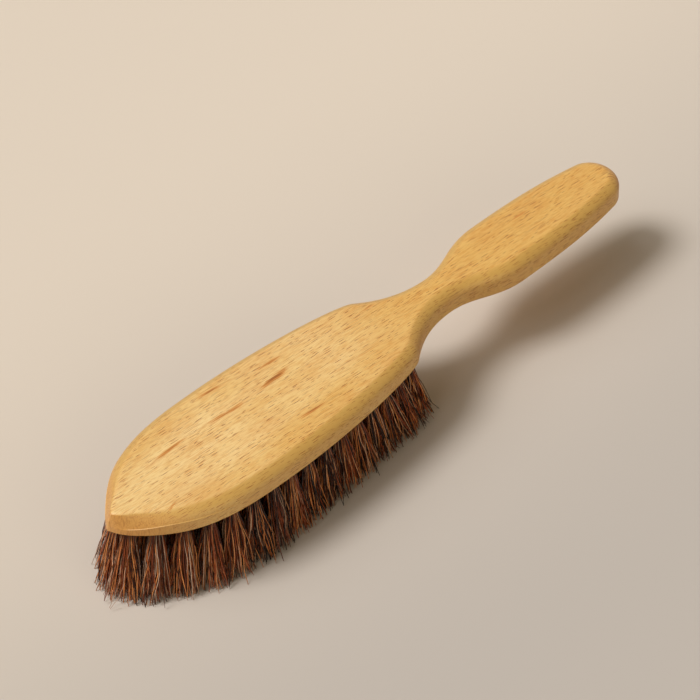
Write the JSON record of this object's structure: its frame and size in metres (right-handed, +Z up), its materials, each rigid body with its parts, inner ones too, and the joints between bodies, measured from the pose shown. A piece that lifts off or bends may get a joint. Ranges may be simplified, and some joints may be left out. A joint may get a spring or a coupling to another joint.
{
  "type": "carpet brush",
  "caption": "Hand-held carpet brush: a flat pointed-oval wooden stock running on into a waisted handle, with rows of stiff plant-fibre tufts below.",
  "frame": {"origin": "on the surface that the bristle tips stand on, below the centre of the brush's box", "axes": "+X along the brush from the stock's nose to the handle's end, +Z up from the bristle tips to the stock's flat top, +Y to the right of someone holding the handle"},
  "size_m": [0.3328, 0.0756, 0.0497],
  "materials": {
    "beech": "straight-grained beech with fine dark flecks, satin honey-coloured varnish",
    "bristle": "stiff red-brown plant fibre, dull, with paler orange and tan fibres among it"
  },
  "bodies": {
    "root": {"handle_stock": "beech", "tuft_outer_left_01": "bristle", "tuft_outer_right_01": "bristle", "tuft_outer_left_02": "bristle", "tuft_outer_right_02": "bristle", "tuft_outer_left_03": "bristle", "tuft_outer_right_03": "bristle", "tuft_outer_left_04": "bristle", "tuft_outer_right_04": "bristle", "tuft_outer_left_05": "bristle", "tuft_outer_right_05": "bristle", "tuft_outer_left_06": "bristle", "tuft_outer_right_06": "bristle", "tuft_outer_left_07": "bristle", "tuft_outer_right_07": "bristle", "tuft_outer_left_08": "bristle", "tuft_outer_right_08": "bristle", "tuft_outer_left_09": "bristle", "tuft_outer_right_09": "bristle", "tuft_outer_left_10": "bristle", "tuft_outer_right_10": "bristle", "tuft_outer_left_11": "bristle", "tuft_outer_right_11": "bristle", "tuft_outer_left_12": "bristle", "tuft_outer_right_12": "bristle", "tuft_outer_left_13": "bristle", "tuft_outer_right_13": "bristle", "tuft_outer_left_14": "bristle", "tuft_outer_right_14": "bristle", "tuft_outer_left_15": "bristle", "tuft_outer_right_15": "bristle", "tuft_outer_left_16": "bristle", "tuft_outer_right_16": "bristle", "tuft_inner_nose": "bristle", "tuft_inner_left_01": "bristle", "tuft_inner_right_01": "bristle", "tuft_inner_left_02": "bristle", "tuft_inner_right_02": "bristle", "tuft_inner_left_03": "bristle", "tuft_inner_right_03": "bristle", "tuft_inner_left_04": "bristle", "tuft_inner_right_04": "bristle", "tuft_inner_left_05": "bristle", "tuft_inner_right_05": "bristle", "tuft_inner_left_06": "bristle", "tuft_inner_right_06": "bristle", "tuft_inner_left_07": "bristle", "tuft_inner_right_07": "bristle", "tuft_inner_left_08": "bristle", "tuft_inner_right_08": "bristle", "tuft_inner_left_09": "bristle", "tuft_inner_right_09": "bristle", "tuft_centre_1": "bristle", "tuft_centre_2": "bristle", "tuft_centre_3": "bristle", "tuft_centre_4": "bristle", "tuft_centre_5": "bristle", "tuft_centre_6": "bristle", "tuft_centre_7": "bristle", "tuft_centre_8": "bristle"}
  },
  "joints": []
}
